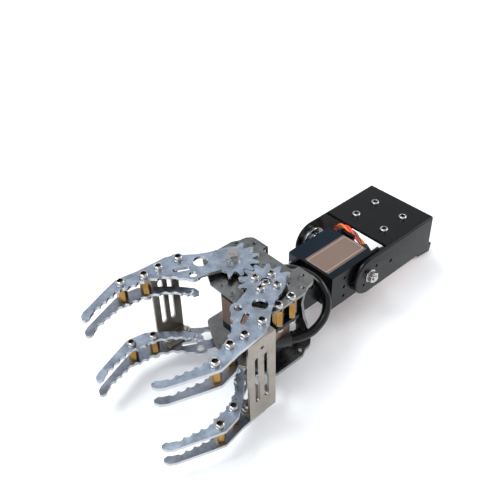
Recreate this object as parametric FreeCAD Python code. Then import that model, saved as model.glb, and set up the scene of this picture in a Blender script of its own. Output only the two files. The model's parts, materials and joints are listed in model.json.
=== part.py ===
import FreeCAD
import Part
import math
import os
from FreeCAD import Vector

# Two-finger geared gripper arm with one elbow joint, in millimetres.
# +X runs from the vehicle towards the finger tips, +Z is up, +Y is the driven jaw's side.
# The origin is the centre of the four fixing screws, on the underside of the base bracket's web.

# --- Driving dimensions -----------------------------------------------------------------------
TEETH = 13                  # teeth on a full circle of the jaw gears
GEAR_PITCH_R = 14.0         # half of the distance between the two jaw pivots
GEAR_ROOT_R = 11.4
TOOTH_PROFILE = [(10.4, 2.6), (12.0, 2.0), (13.4, 1.6), (14.8, 1.3), (15.5, 0.95), (15.9, 0.45)]
JAW_X = 120.0               # both jaw pivots
JAW_PLATE = 2.0
UPPER_Z = 23.0              # underside of the upper gear plates
LOWER_Z = -38.5             # underside of the lower gear plates
STANDOFF_LEN = 10.0         # between the two plates of one finger
JOINT_GAP = 3.0             # between a gear plate and the palm

PALM_TOP_Z = UPPER_Z - JOINT_GAP
PALM_BOTTOM_Z = LOWER_Z + JAW_PLATE + JOINT_GAP
PALM_SHEET = 2.0
PALM_REAR_X = 92.0
PALM_HOLE_R = 13.0

ELBOW_X = 38.5
ELBOW_Z = -12.0
SERVO_LEN = 40.0
SERVO_WIDTH = 20.0
SERVO_HEIGHT = 38.5
SERVO_SHAFT_OFFSET = 10.5   # shaft to the nearer end of the case
SERVO_BOTTOM_H = 5.5
SERVO_TOP_START = 26.0
SERVO_WALL = 1.6
EAR_Z = 28.0                # underside of the mounting ears
EAR_THICK = 2.5
EAR_LEN = 7.5
EAR_HOLE_OUT = 4.75         # ear hole beyond the end of the case
EAR_HOLE_PITCH = 10.0
SHAFT_R = 3.0
HORN_R = 10.0
HORN_THICK = 2.8
ELBOW_SERVO_Y = 19.3        # underside of the elbow servo, on the driven jaw's side

GRIPPER_EAR_TOP_Z = 6.0
ARM_SHEET = 2.0
ARM_NEAR_Y = 25.75          # outer face of the base bracket's arm on the driven jaw's side
ARM_FAR_Y = -29.0           # outer face of the other arm, beside the elbow horn
ARM_R = 14.0
WEB_FRONT_X = 21.5
WEB_REAR_X = -26.0
BASE_PITCH_X = 20.0
BASE_PITCH_Y = 24.0
BASE_NECK_R = 1.68
BASE_HOLE_R = 1.7
BASE_STUD_LEN = 7.0

M3_R = 1.45
M3_HOLE_R = 1.5
M3_HEAD_R = 2.8
M3_HEAD_H = 2.0
CAP_HEAD_H = 2.8            # taller socket heads on the jaws
M3_NUT_AF = 5.5
M3_NUT_H = 2.4
FIT = 0.05                  # radial clearance of a turning pin

# Places on a jaw plate, measured from the jaw pivot: x forward, y away from the other jaw.
TIE_SCREWS = [(23.6, 22.1), (37.1, 23.3)]
FINGER_SCREWS = [(47.2, 23.4), (60.6, 27.5)]
BIG_HOLE = (15.1, 11.5)
BIG_HOLE_R = 4.6
SMALL_HOLE = (25.5, 5.4)
SMALL_HOLE_R = 2.5
SLOT_ENDS = [(24.6, 11.6), (31.0, 15.2)]
SLOT_R = 1.6
HORN_SCREW_R = 7.0

TIE_X = (20.8, 40.6)
TIE_Y = 28.2                # inner face of the tie plate
TIE_SHEET = 1.5
TIE_SLOTS_X = [27.7, 34.4]
TIE_SLOT_R = 1.7

LEAD_D = 5.5                # sleeved lead of the gripper servo
WIRE_D = 3.0                # the three wires of the elbow servo, as one round bundle


# --- Small shape helpers ----------------------------------------------------------------------
def box(x0, x1, y0, y1, z0, z1):
    return Part.makeBox(x1 - x0, y1 - y0, z1 - z0, Vector(x0, y0, z0))


def rod(x, y, z0, z1, radius):
    return Part.makeCylinder(radius, z1 - z0, Vector(x, y, z0), Vector(0, 0, 1))


def rod_along(start, axis, length, radius):
    return Part.makeCylinder(radius, length, Vector(*start), Vector(*axis))


def prism(points, z0, z1):
    corners = [Vector(x, y, z0) for x, y in points]
    wire = Part.makePolygon(corners + corners[:1])
    return Part.Face(wire).extrude(Vector(0, 0, z1 - z0))


def hexagon(x, y, z0, z1, across_flats):
    corner_r = across_flats / math.sqrt(3.0)
    corners = []
    for k in range(6):
        angle = math.radians(60 * k + 30)
        corners.append((x + corner_r * math.cos(angle), y + corner_r * math.sin(angle)))
    return prism(corners, z0, z1)


def slot(end_a, end_b, radius, z0, z1):
    """Round-ended slot between two points, as a solid to cut away."""
    dx = end_b[0] - end_a[0]
    dy = end_b[1] - end_a[1]
    length = math.hypot(dx, dy)
    side_x = -dy / length * radius
    side_y = dx / length * radius
    body = prism([(end_a[0] + side_x, end_a[1] + side_y), (end_b[0] + side_x, end_b[1] + side_y),
                  (end_b[0] - side_x, end_b[1] - side_y), (end_a[0] - side_x, end_a[1] - side_y)], z0, z1)
    return body.fuse([rod(end_a[0], end_a[1], z0, z1, radius), rod(end_b[0], end_b[1], z0, z1, radius)])


def fuse(shapes):
    return shapes[0].fuse(shapes[1:]).removeSplitter()


def rounded_slab(x0, x1, y0, y1, z0, z1, radius):
    slab = box(x0, x1, y0, y1, z0, z1)
    uprights = [e for e in slab.Edges if abs(e.Vertexes[0].Z - e.Vertexes[1].Z) > 0.5 * (z1 - z0)]
    return slab.makeFillet(radius, uprights)


def turned(shape, axis, degrees):
    copy = shape.copy()
    copy.rotate(Vector(0, 0, 0), Vector(*axis), degrees)
    return copy


def moved(shape, x, y, z):
    copy = shape.copy()
    copy.translate(Vector(x, y, z))
    return copy


def mirrored(shape):
    """The same piece for the other jaw."""
    return shape.mirror(Vector(0, 0, 0), Vector(0, 1, 0))


def save(name, shapes):
    if isinstance(shapes, list):
        shapes = shapes[0] if len(shapes) == 1 else Part.makeCompound(shapes)
    shapes.exportStep("parts/" + name + ".step")
    print(name, "solids", len(shapes.Solids), "valid", shapes.isValid(), "volume", round(shapes.Volume, 1))


# --- Fasteners, built along +Z ----------------------------------------------------------------
def screw(x, y, seat_z, length, up=True, shank_r=M3_R, head_r=M3_HEAD_R, head_h=M3_HEAD_H):
    """Pan-head screw: the head sits above seat_z, or below it when up is False."""
    if up:
        head = rod(x, y, seat_z, seat_z + head_h, head_r)
        rim = [e for e in head.Edges if abs(e.BoundBox.ZMin - seat_z - head_h) < 1e-6]
        head = head.makeFillet(0.4 * head_h, rim[:1])
        return fuse([head, rod(x, y, seat_z - length, seat_z, shank_r)])
    head = rod(x, y, seat_z - head_h, seat_z, head_r)
    rim = [e for e in head.Edges if abs(e.BoundBox.ZMax - seat_z + head_h) < 1e-6]
    head = head.makeFillet(0.4 * head_h, rim[:1])
    return fuse([head, rod(x, y, seat_z, seat_z + length, shank_r)])


def cap_screw(x, y, seat_z, length, up):
    return screw(x, y, seat_z, length, up, M3_R, M3_HEAD_R, CAP_HEAD_H)


def nut(x, y, z0, across_flats=M3_NUT_AF, height=M3_NUT_H, bore_r=M3_HOLE_R):
    return hexagon(x, y, z0, z0 + height, across_flats).cut(rod(x, y, z0 - 1, z0 + height + 1, bore_r))


# --- Free leads: straight runs joined by tangent arcs -----------------------------------------
def tube(points, diameter, name):
    runs = [points[i + 1] - points[i] for i in range(len(points) - 1)]
    trims = [0.0]
    arcs = []
    for i in range(1, len(points) - 1):
        before = runs[i - 1]
        after = runs[i]
        half_turn = before.getAngle(after) / 2.0
        tangent = 0.45 * min(before.Length, after.Length)
        trims.append(tangent)
        arcs.append((tangent / math.tan(half_turn), 2 * half_turn))
    trims.append(0.0)
    solids = []
    length = 0.0
    for i, run in enumerate(runs):
        direction = Vector(run).normalize()
        start = points[i] + direction * trims[i]
        straight = run.Length - trims[i] - trims[i + 1]
        solids.append(Part.makeCylinder(diameter / 2.0, straight, start, direction))
        length += straight
    for i, (radius, turn) in enumerate(arcs):
        before = Vector(runs[i]).normalize()
        after = Vector(runs[i + 1]).normalize()
        axis = before.cross(after).normalize()
        start = points[i + 1] - before * trims[i + 1]
        centre = start + axis.cross(before) * radius
        ring = Part.Face(Part.Wire(Part.makeCircle(diameter / 2.0, start, before)))
        solids.append(ring.revolve(centre, axis, math.degrees(turn)))
        length += radius * turn
    body = solids[0].fuse(solids[1:]).removeSplitter()
    section = math.pi * diameter ** 2 / 4.0
    print(name, "length", round(length, 1), "volume ratio", round(body.Volume / (section * length), 4),
          "radii", [round(radius, 1) for radius, turn in arcs])
    return body


# --- Servo, built with its shaft along +Z and its long side towards +X -------------------------
SERVO_X0 = -SERVO_SHAFT_OFFSET
SERVO_X1 = SERVO_LEN - SERVO_SHAFT_OFFSET
SERVO_HALF = SERVO_WIDTH / 2.0
POST = 4.5                  # square corner posts that take the long case screws
CASE_SCREW_INSET = 2.6
CASE_SCREW_SINK = 1.3       # depth of the recess for a case screw's head


def servo_cavity(z0, z1):
    inner = box(SERVO_X0 + SERVO_WALL, SERVO_X1 - SERVO_WALL, -SERVO_HALF + SERVO_WALL,
                SERVO_HALF - SERVO_WALL, z0, z1)
    posts = []
    for x0, x1 in [(SERVO_X0, SERVO_X0 + SERVO_WALL + POST), (SERVO_X1 - SERVO_WALL - POST, SERVO_X1)]:
        for y0, y1 in [(-SERVO_HALF, -SERVO_HALF + SERVO_WALL + POST),
                       (SERVO_HALF - SERVO_WALL - POST, SERVO_HALF)]:
            posts.append(box(x0, x1, y0, y1, z0, z1))
    return inner.cut(posts)


def case_screw_places():
    return [(x, y) for x in (SERVO_X0 + CASE_SCREW_INSET, SERVO_X1 - CASE_SCREW_INSET)
            for y in (-SERVO_HALF + CASE_SCREW_INSET, SERVO_HALF - CASE_SCREW_INSET)]


def servo_pieces(horn_rise):
    """One sealed servo; horn_rise is from the top of its case to the underside of its horn."""
    screw_holes = [rod(x, y, -1, SERVO_HEIGHT - 3.0, 1.1) for x, y in case_screw_places()]
    screw_holes += [rod(x, y, -1, CASE_SCREW_SINK, 2.1) for x, y in case_screw_places()]
    bottom = rounded_slab(SERVO_X0, SERVO_X1, -SERVO_HALF, SERVO_HALF, 0, SERVO_BOTTOM_H, 1.2)
    bottom = bottom.cut(screw_holes)
    middle = rounded_slab(SERVO_X0, SERVO_X1, -SERVO_HALF, SERVO_HALF, SERVO_BOTTOM_H, SERVO_TOP_START, 1.2)
    middle = middle.cut([servo_cavity(SERVO_BOTTOM_H, SERVO_TOP_START)] + screw_holes)

    top = rounded_slab(SERVO_X0, SERVO_X1, -SERVO_HALF, SERVO_HALF, SERVO_TOP_START, SERVO_HEIGHT, 1.2)
    ears = rounded_slab(SERVO_X0 - EAR_LEN, SERVO_X1 + EAR_LEN, -SERVO_HALF + 0.4, SERVO_HALF - 0.4,
                        EAR_Z, EAR_Z + EAR_THICK, 1.5)
    boss = rod(0, 0, SERVO_HEIGHT, SERVO_HEIGHT + 1.2, 6.5)
    top = fuse([top, ears, boss])
    ear_holes = [rod(x, y, EAR_Z - 1, EAR_Z + EAR_THICK + 1, 2.2) for x, y in ear_places()]
    bore = rod(0, 0, SERVO_TOP_START, SERVO_HEIGHT + 3, SHAFT_R + FIT)
    top = top.cut([servo_cavity(SERVO_TOP_START, SERVO_HEIGHT - 2.0), bore] + screw_holes + ear_holes)

    screws = [screw(x, y, CASE_SCREW_SINK, SERVO_HEIGHT - 7.0, False, 1.0, 2.0, 1.2)
              for x, y in case_screw_places()]
    motor = fuse([rod(14.5, 0, 7.0, 25.0, 7.4), rod(14.5, 0, 25.0, 31.0, 1.0),
                  rod(14.5, 0, 29.0, 33.5, 2.4)])
    board = box(-4.2, 23.2, -7.6, 7.6, SERVO_BOTTOM_H, 7.0)
    horn_z = SERVO_HEIGHT + horn_rise
    shaft = fuse([rod(0, 0, 29.0, horn_z, SHAFT_R), rod(0, 0, 30.0, 33.0, 5.4)])
    horn = fuse([rod(0, 0, horn_z, horn_z + HORN_THICK, HORN_R),
                 rod(0, 0, SERVO_HEIGHT + 1.5, horn_z, 4.6)])
    horn = horn.cut(rod(0, 0, SERVO_HEIGHT + 1, horn_z + 0.001, SHAFT_R))
    horn = horn.cut([rod(0, 0, SERVO_HEIGHT, horn_z + 4, M3_HOLE_R)] +
                    [rod(x, y, horn_z - 1, horn_z + 4, M3_HOLE_R) for x, y in horn_screw_places()])
    shaft = shaft.cut(rod(0, 0, SERVO_HEIGHT - 3, horn_z + 1, M3_HOLE_R))
    return {"case_bottom": bottom, "case_middle": middle, "case_top": top, "case_screws": screws,
            "motor": motor, "control_board": board, "output_shaft": shaft, "horn": horn}


def ear_places():
    return [(x, y) for x in (SERVO_X0 - EAR_HOLE_OUT, SERVO_X1 + EAR_HOLE_OUT)
            for y in (-EAR_HOLE_PITCH / 2.0, EAR_HOLE_PITCH / 2.0)]


def horn_screw_places():
    return [(HORN_SCREW_R * math.cos(math.radians(a)), HORN_SCREW_R * math.sin(math.radians(a)))
            for a in (20, 110, 200, 290)]


def place_each(pieces, place):
    placed = {}
    for name, shape in pieces.items():
        placed[name] = [place(s) for s in shape] if isinstance(shape, list) else place(shape)
    return placed


# --- Elbow servo: shaft towards -Y, long side towards +X ---------------------------------------
ELBOW_HORN_FACE_Y = ARM_FAR_Y + ARM_SHEET
ELBOW_HORN_RISE = ELBOW_SERVO_Y - SERVO_HEIGHT - HORN_THICK - ELBOW_HORN_FACE_Y


def place_elbow(shape):
    return moved(turned(shape, (1, 0, 0), 90), ELBOW_X, ELBOW_SERVO_Y, ELBOW_Z)


# --- Gripper servo: shaft up, long side towards -Y ---------------------------------------------
GRIPPER_BOTTOM_Z = GRIPPER_EAR_TOP_Z - EAR_Z - EAR_THICK
GRIPPER_HORN_RISE = UPPER_Z - HORN_THICK - SERVO_HEIGHT - GRIPPER_BOTTOM_Z


def place_gripper(shape):
    return moved(turned(shape, (0, 0, 1), -90), JAW_X, GEAR_PITCH_R, GRIPPER_BOTTOM_Z)


# --- Base: U-bracket with two long arms --------------------------------------------------------
def base_bracket():
    web = box(WEB_REAR_X, WEB_FRONT_X, ARM_FAR_Y, ARM_NEAR_Y, 0, ARM_SHEET)
    arms = []
    for y0 in (ARM_FAR_Y, ARM_NEAR_Y - ARM_SHEET):
        plate = box(WEB_REAR_X, ELBOW_X, y0, y0 + ARM_SHEET, ELBOW_Z - ARM_R, ARM_SHEET)
        end = rod_along((ELBOW_X, y0, ELBOW_Z), (0, 1, 0), ARM_SHEET, ARM_R)
        arms.append(plate.fuse(end))
    bracket = fuse([web] + arms)
    bends = [e for e in bracket.Edges if e.Length > 40 and abs(e.BoundBox.ZMax - ARM_SHEET) < 0.01
             and e.BoundBox.YLength < 0.01
             and min(abs(e.BoundBox.YMin - ARM_FAR_Y), abs(e.BoundBox.YMin - ARM_NEAR_Y)) < 0.01]
    bracket = bracket.makeFillet(1.2, bends)
    cuts = [rod(x, y, -1, ARM_SHEET + 1, BASE_HOLE_R) for x, y in base_screw_places()]
    for angle in (50, 140, 230, 320):
        cuts.append(arm_hole(7.6 * math.cos(math.radians(angle)), 7.6 * math.sin(math.radians(angle)), 1.1))
    cuts.append(arm_hole(-21.0, 0.5, 1.3))
    cuts.append(rod_along((ELBOW_X, 15, ELBOW_Z), (0, 1, 0), 15, 2.0 + FIT))
    cuts.append(rod_along((ELBOW_X, ARM_FAR_Y - 1, ELBOW_Z), (0, 1, 0), 6, 3.2))
    for x, y in horn_screw_places():
        cuts.append(rod_along((ELBOW_X + x, ARM_FAR_Y - 1, ELBOW_Z + y), (0, 1, 0), 4, M3_HOLE_R))
    return bracket.cut(cuts)


def arm_hole(dx, dz, radius):
    return rod_along((ELBOW_X + dx, 15, ELBOW_Z + dz), (0, 1, 0), 15, radius)


def base_screw_places():
    return [(x, y) for x in (-BASE_PITCH_X / 2, BASE_PITCH_X / 2)
            for y in (-BASE_PITCH_Y / 2, BASE_PITCH_Y / 2)]


def base_screw(x, y):
    """Its plain neck fills the web's hole, and its threaded length stands out below the web."""
    return fuse([screw(x, y, ARM_SHEET, ARM_SHEET, True, BASE_NECK_R), rod(x, y, -BASE_STUD_LEN, 0, M3_R)])


def along_y(shape, x, y, z):
    """Take a fastener built along +Z at the origin, and point its head towards +Y."""
    return moved(turned(shape, (1, 0, 0), -90), x, y, z)


def along_minus_y(shape, x, y, z):
    return moved(turned(shape, (1, 0, 0), 90), x, y, z)


def along_x(shape, x, y, z):
    return moved(turned(shape, (0, 1, 0), 90), x, y, z)


# --- Servo bracket: a side plate, two walls and two ear flanges --------------------------------
BRACKET_X0 = ELBOW_X - SERVO_SHAFT_OFFSET - 0.6 - ARM_SHEET
BRACKET_X1 = ELBOW_X + SERVO_LEN - SERVO_SHAFT_OFFSET + 0.6 + ARM_SHEET
BRACKET_Y1 = ELBOW_SERVO_Y + 0.2 + ARM_SHEET
BRACKET_HALF = 13.0
EAR_FACE_Y = ELBOW_SERVO_Y - EAR_Z
EAR_SCREW_R = 1.95


def servo_bracket():
    z0 = ELBOW_Z - BRACKET_HALF
    z1 = ELBOW_Z + BRACKET_HALF
    side = box(BRACKET_X0, BRACKET_X1, BRACKET_Y1 - ARM_SHEET, BRACKET_Y1, z0, z1)
    rear = box(BRACKET_X0, BRACKET_X0 + ARM_SHEET, EAR_FACE_Y, BRACKET_Y1, z0 + 1.5, z1 - 1.5)
    front = box(BRACKET_X1 - ARM_SHEET, BRACKET_X1, EAR_FACE_Y, BRACKET_Y1, z0, z1)
    rear_ear = box(BRACKET_X0 - 4.2, BRACKET_X0, EAR_FACE_Y, EAR_FACE_Y + ARM_SHEET, z0 + 4.0, z1 - 4.0)
    front_ear = box(BRACKET_X1, BRACKET_X1 + 5.5, EAR_FACE_Y, EAR_FACE_Y + ARM_SHEET, z0, z1)
    bracket = fuse([side, rear, front, rear_ear, front_ear])
    cuts = [rod_along((ELBOW_X, 15, ELBOW_Z), (0, 1, 0), 10, 3.0 + FIT)]
    for dx, dz in [(20.5, 7.5), (20.5, 0), (20.5, -7.5), (13.0, 0)]:
        cuts.append(rod_along((ELBOW_X + dx, 15, ELBOW_Z + dz), (0, 1, 0), 10, 1.2))
    for x, z in elbow_ear_places():
        cuts.append(rod_along((x, EAR_FACE_Y - 1, z), (0, 1, 0), 4, EAR_SCREW_R + FIT))
    for y, z in wrist_rear_places():
        cuts.append(rod_along((BRACKET_X1 - 5, y, z), (1, 0, 0), 8, M3_HOLE_R))
    cuts.append(box(BRACKET_X0 - 1, BRACKET_X0 + 3, ELBOW_GLAND[1] - 12.5, ELBOW_GLAND[1] + 6.2,
                    ELBOW_GLAND[2] - 4.2, z1 + 1))
    return bracket.cut(cuts)


def elbow_ear_places():
    return [(ELBOW_X + x, ELBOW_Z + y) for x, y in ear_places()]


# --- Wrist spacer between the servo bracket and the palm ----------------------------------------
WRIST_Y = (-3.8, 13.0)
WRIST_Z = (-21.0, -3.0)
WRIST_WALL = 2.0


def wrist_front_places():
    return [(y, z) for y in (0.6, 8.6) for z in (WRIST_Z[0] + 5.0, WRIST_Z[1] - 5.0)]


def wrist_rear_places():
    return [(y, ELBOW_Z) for y in (1.6, 7.8)]


def wrist_spacer():
    outer = box(BRACKET_X1, PALM_REAR_X, WRIST_Y[0], WRIST_Y[1], WRIST_Z[0], WRIST_Z[1])
    inner = box(BRACKET_X1 + WRIST_WALL, PALM_REAR_X - WRIST_WALL, WRIST_Y[0] + WRIST_WALL,
                WRIST_Y[1] - WRIST_WALL, WRIST_Z[0] - 1, WRIST_Z[1] + 1)
    cuts = [inner]
    for y, z in wrist_front_places():
        cuts.append(rod_along((PALM_REAR_X - 4, y, z), (1, 0, 0), 8, M3_HOLE_R))
    for y, z in wrist_rear_places():
        cuts.append(rod_along((BRACKET_X1 - 3, y, z), (1, 0, 0), 8, M3_HOLE_R))
    return outer.cut(cuts)


# --- Palm: one bent sheet, top plate, waisted rear flange and bottom plate -----------------------
PALM_SIDE = [(92.0, 29.3), (101.0, 29.3), (106.0, 31.8), (129.5, 31.8), (140.0, 11.5)]
PALM_ROUNDED = [(106.0, 31.8, 3.0), (129.5, 31.8, 4.0), (140.0, 11.5, 4.0)]
PALM_BEND_R = 1.8
PALM_REAR_CORNER_R = 8.0
PALM_NOTCH = 6.0            # bend relief in the middle of each rear bend
PALM_NOTCH_HALF = 13.5
PALM_NOTCH_DROP = 7.0
PALM_REAR = [(29.3, 0.0), (28.4, 8.0), (22.9, 10.8), (19.6, 16.0), (17.6, 26.7)]


def round_corners(plate, places):
    """Rounds a flat plate's upright edges at the listed (x, |y|, radius) places."""
    for x, y, radius in places:
        corners = [e for e in plate.Edges if e.BoundBox.ZLength > 0.9 * PALM_SHEET
                   and abs(e.BoundBox.XMin - x) < 0.01 and abs(abs(e.BoundBox.YMin) - y) < 0.01]
        plate = plate.makeFillet(radius, corners)
    return plate


def palm():
    outline = PALM_SIDE + [(x, -y) for x, y in reversed(PALM_SIDE)]
    top = round_corners(prism(outline, PALM_TOP_Z - PALM_SHEET, PALM_TOP_Z), PALM_ROUNDED)
    bottom = round_corners(prism(outline, PALM_BOTTOM_Z, PALM_BOTTOM_Z + PALM_SHEET), PALM_ROUNDED)
    half = PALM_REAR + [(y, PALM_TOP_Z - PALM_BOTTOM_Z - z) for y, z in reversed(PALM_REAR[:-1])]
    profile = [(y, PALM_TOP_Z - z) for y, z in half] + [(-y, PALM_TOP_Z - z) for y, z in reversed(half)]
    corners = [Vector(PALM_REAR_X, y, z) for y, z in profile]
    flange = Part.Face(Part.makePolygon(corners + corners[:1])).extrude(Vector(PALM_SHEET, 0, 0))
    body = fuse([top, bottom, flange])
    bends = [e for e in body.Edges if e.BoundBox.XLength < 0.01 and e.BoundBox.ZLength < 0.01
             and abs(e.BoundBox.XMin - PALM_REAR_X) < 0.01
             and min(abs(e.BoundBox.ZMin - PALM_TOP_Z), abs(e.BoundBox.ZMin - PALM_BOTTOM_Z)) < 0.01]
    body = body.makeFillet(PALM_BEND_R, bends)
    rear_corner = (PALM_REAR_X, PALM_SIDE[0][1], PALM_REAR_CORNER_R)
    body = body.common(round_corners(prism(outline, PALM_BOTTOM_Z - 1, PALM_TOP_Z + 1), [rear_corner]))
    cuts = [rod(JAW_X, GEAR_PITCH_R, PALM_TOP_Z - 5, PALM_TOP_Z + 5, PALM_HOLE_R)]
    for z0, z1 in ((PALM_TOP_Z - PALM_NOTCH_DROP, PALM_TOP_Z + 1),
                   (PALM_BOTTOM_Z - 1, PALM_BOTTOM_Z + PALM_NOTCH_DROP)):
        cuts.append(rounded_slab(PALM_REAR_X - 8, PALM_REAR_X + PALM_NOTCH, -PALM_NOTCH_HALF,
                                 PALM_NOTCH_HALF, z0, z1, 3.0))
    cuts.append(rod(JAW_X, -GEAR_PITCH_R, PALM_TOP_Z - 5, PALM_TOP_Z + 5, 2.0 + FIT))
    for y in (-GEAR_PITCH_R, GEAR_PITCH_R):
        cuts.append(rod(JAW_X, y, PALM_BOTTOM_Z - 5, PALM_BOTTOM_Z + 5, 2.0 + FIT))
    for x, y in gripper_ear_places():
        cuts.append(rod(x, y, PALM_TOP_Z - 5, PALM_TOP_Z + 5, M3_HOLE_R))
    for x, y in palm_spare_holes():
        cuts.append(rod(x, y, PALM_TOP_Z - 5, PALM_TOP_Z + 5, 1.3))
        cuts.append(rod(x, y, PALM_BOTTOM_Z - 5, PALM_BOTTOM_Z + 5, 1.3))
    for y, z in wrist_front_places():
        cuts.append(rod_along((PALM_REAR_X - 1, y, z), (1, 0, 0), 4, M3_HOLE_R))
    return body.cut(cuts)


def palm_spare_holes():
    places = [(97.0, 20.5), (104.5, 28.0), (136.0, 4.5)]
    return places + [(x, -y) for x, y in places]


def gripper_ear_places():
    return [(JAW_X + y, GEAR_PITCH_R - x) for x, y in ear_places()]


# --- Jaws, built for the driven jaw with its pivot at the origin ---------------------------------
def gear_disc(tooth_phase, z0, z1):
    """Seven round-tipped teeth on the side that meets the other jaw; tooth_phase is in tooth pitches."""
    pitch = 2 * math.pi / TEETH
    shapes = [rod(0, 0, z0, z1, GEAR_ROOT_R)]
    for k in range(-4, 3):
        angle = -math.pi / 2 + (k + tooth_phase) * pitch
        outline = TOOTH_PROFILE + [(radius, -half) for radius, half in reversed(TOOTH_PROFILE)]
        corners = [(radius * math.cos(angle) - half * math.sin(angle),
                    radius * math.sin(angle) + half * math.cos(angle)) for radius, half in outline]
        shapes.append(prism(corners, z0, z1))
    return fuse(shapes)


FINGER_OUTER = [(60.5, 32.3), (69.1, 29.4), (88.3, 22.3)]
FINGER_TIP = [(91.0, 20.4), (92.2, 17.4), (91.2, 15.8), (88.6, 15.8), (86.9, 17.4)]
SERRATED_EDGE = [(84.6, 18.6), (64.6, 23.2), (60.5, 21.6), (50.0, 20.2), (43.4, 17.1), (38.0, 13.7),
                 (33.8, 8.4)]
SERRATION_PITCH = 4.9
SERRATION_DEPTH = 1.3
SERRATION_PROFILE = [(0.0, 0.0), (0.14, 0.05), (0.32, 0.75), (0.56, 1.0), (0.80, 0.75)]


def serrated_edge(path):
    """Rounded bites cut into the gripping edge, from the tip back along the bend."""
    points = []
    for (x0, y0), (x1, y1) in zip(path, path[1:]):
        length = math.hypot(x1 - x0, y1 - y0)
        bites = max(1, round(length / SERRATION_PITCH))
        inward_x = (y1 - y0) / length * SERRATION_DEPTH
        inward_y = -(x1 - x0) / length * SERRATION_DEPTH
        for k in range(bites):
            for step, depth in SERRATION_PROFILE:
                part = (k + step) / bites
                points.append((x0 + (x1 - x0) * part + inward_x * depth,
                               y0 + (y1 - y0) * part + inward_y * depth))
    return points


def gear_plate(tooth_phase, z0):
    z1 = z0 + JAW_PLATE
    hub_out = [(-11.0, 3.0), (-6.5, 9.6), (-0.2, 12.5), (6.8, 14.9), (13.8, 19.1), (22.4, 26.5),
               (28.3, 29.0)]
    outline = hub_out + [(46.6, 30.0)] + FINGER_OUTER + FINGER_TIP + serrated_edge(SERRATED_EDGE)
    outline += [(33.8, 8.4), (30.3, 5.4), (25.5, 5.4), (12.8, -2.1), (4.0, -6.0)]
    lobe = rod(SMALL_HOLE[0], SMALL_HOLE[1], z0, z1, 4.7)
    lobe_web = prism([(12.8, -2.1), (22.9, 1.4), (25.5, 5.4), (12.0, 8.0)], z0, z1)
    plate = fuse([prism(outline, z0, z1), lobe, lobe_web, gear_disc(tooth_phase, z0, z1)])
    cuts = [rod(BIG_HOLE[0], BIG_HOLE[1], z0 - 1, z1 + 1, BIG_HOLE_R)]
    cuts.append(rod(SMALL_HOLE[0], SMALL_HOLE[1], z0 - 1, z1 + 1, SMALL_HOLE_R))
    cuts.append(slot(SLOT_ENDS[0], SLOT_ENDS[1], SLOT_R, z0 - 1, z1 + 1))
    for x, y in TIE_SCREWS + FINGER_SCREWS:
        cuts.append(rod(x, y, z0 - 1, z1 + 1, M3_HOLE_R))
    return plate.cut(cuts)


def finger_plate(z0):
    z1 = z0 + JAW_PLATE
    outline = [(45.2, 27.5), (49.3, 30.2)] + FINGER_OUTER + FINGER_TIP
    outline += serrated_edge(SERRATED_EDGE + [(29.0, 2.4)]) + [(29.0, 2.4)]
    outline += [(26.0, 1.2), (24.4, 2.6), (24.6, 6.4), (30.0, 13.4), (36.4, 20.0)]
    plate = prism(outline, z0, z1)
    cuts = [rod(x, y, z0 - 1, z1 + 1, M3_HOLE_R) for x, y in FINGER_SCREWS]
    cuts.append(rod(27.6, 5.4, z0 - 1, z1 + 1, 1.3))
    return plate.cut(cuts)


def tie_plate():
    top = UPPER_Z
    bottom = LOWER_Z + JAW_PLATE
    x0, x1 = TIE_X
    wall = box(x0, x1, TIE_Y, TIE_Y + TIE_SHEET, bottom, top)
    upper_tab = box(x0, x1, 17.6, TIE_Y + TIE_SHEET, top - TIE_SHEET, top)
    lower_tab = box(x0, x1, 17.6, TIE_Y + TIE_SHEET, bottom, bottom + TIE_SHEET)
    plate = fuse([wall, upper_tab, lower_tab])
    cuts = [tie_slot(x) for x in TIE_SLOTS_X]
    cuts.append(rod_along((30.6, TIE_Y - 1, 16.5), (0, 1, 0), 4, 1.2))
    for x, y in TIE_SCREWS:
        cuts.append(rod(x, y, top - 4, top + 1, M3_HOLE_R))
        cuts.append(rod(x, y, bottom - 1, bottom + 4, M3_HOLE_R))
    return plate.cut(cuts)


def tie_slot(x):
    z_low = -22.5
    z_high = 9.5
    middle = box(x - TIE_SLOT_R, x + TIE_SLOT_R, TIE_Y - 1, TIE_Y + 3, z_low, z_high)
    ends = [rod_along((x, TIE_Y - 1, z), (0, 1, 0), 4, TIE_SLOT_R) for z in (z_low, z_high)]
    return middle.fuse(ends)


def standoffs():
    pieces = []
    for x, y in FINGER_SCREWS:
        for z0 in (UPPER_Z - STANDOFF_LEN, LOWER_Z + JAW_PLATE):
            pieces.append(nut(x, y, z0, 5.5, STANDOFF_LEN))
    return pieces


def jaw_screws():
    upper_top = UPPER_Z + JAW_PLATE
    upper_low = UPPER_Z - STANDOFF_LEN - JAW_PLATE
    lower_top = LOWER_Z + 2 * JAW_PLATE + STANDOFF_LEN
    pieces = []
    for x, y in TIE_SCREWS:
        pieces.append(cap_screw(x, y, upper_top, 7.5, True))
        pieces.append(cap_screw(x, y, LOWER_Z, 7.5, False))
    for x, y in FINGER_SCREWS:
        pieces.append(cap_screw(x, y, upper_top, 6.0, True))
        pieces.append(cap_screw(x, y, upper_low, 6.0, False))
        pieces.append(cap_screw(x, y, lower_top, 6.0, True))
        pieces.append(cap_screw(x, y, LOWER_Z, 6.0, False))
    return pieces


def jaw_nuts():
    pieces = []
    for x, y in TIE_SCREWS:
        pieces.append(nut(x, y, UPPER_Z - TIE_SHEET - M3_NUT_H))
        pieces.append(nut(x, y, LOWER_Z + JAW_PLATE + TIE_SHEET))
    return pieces


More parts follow.
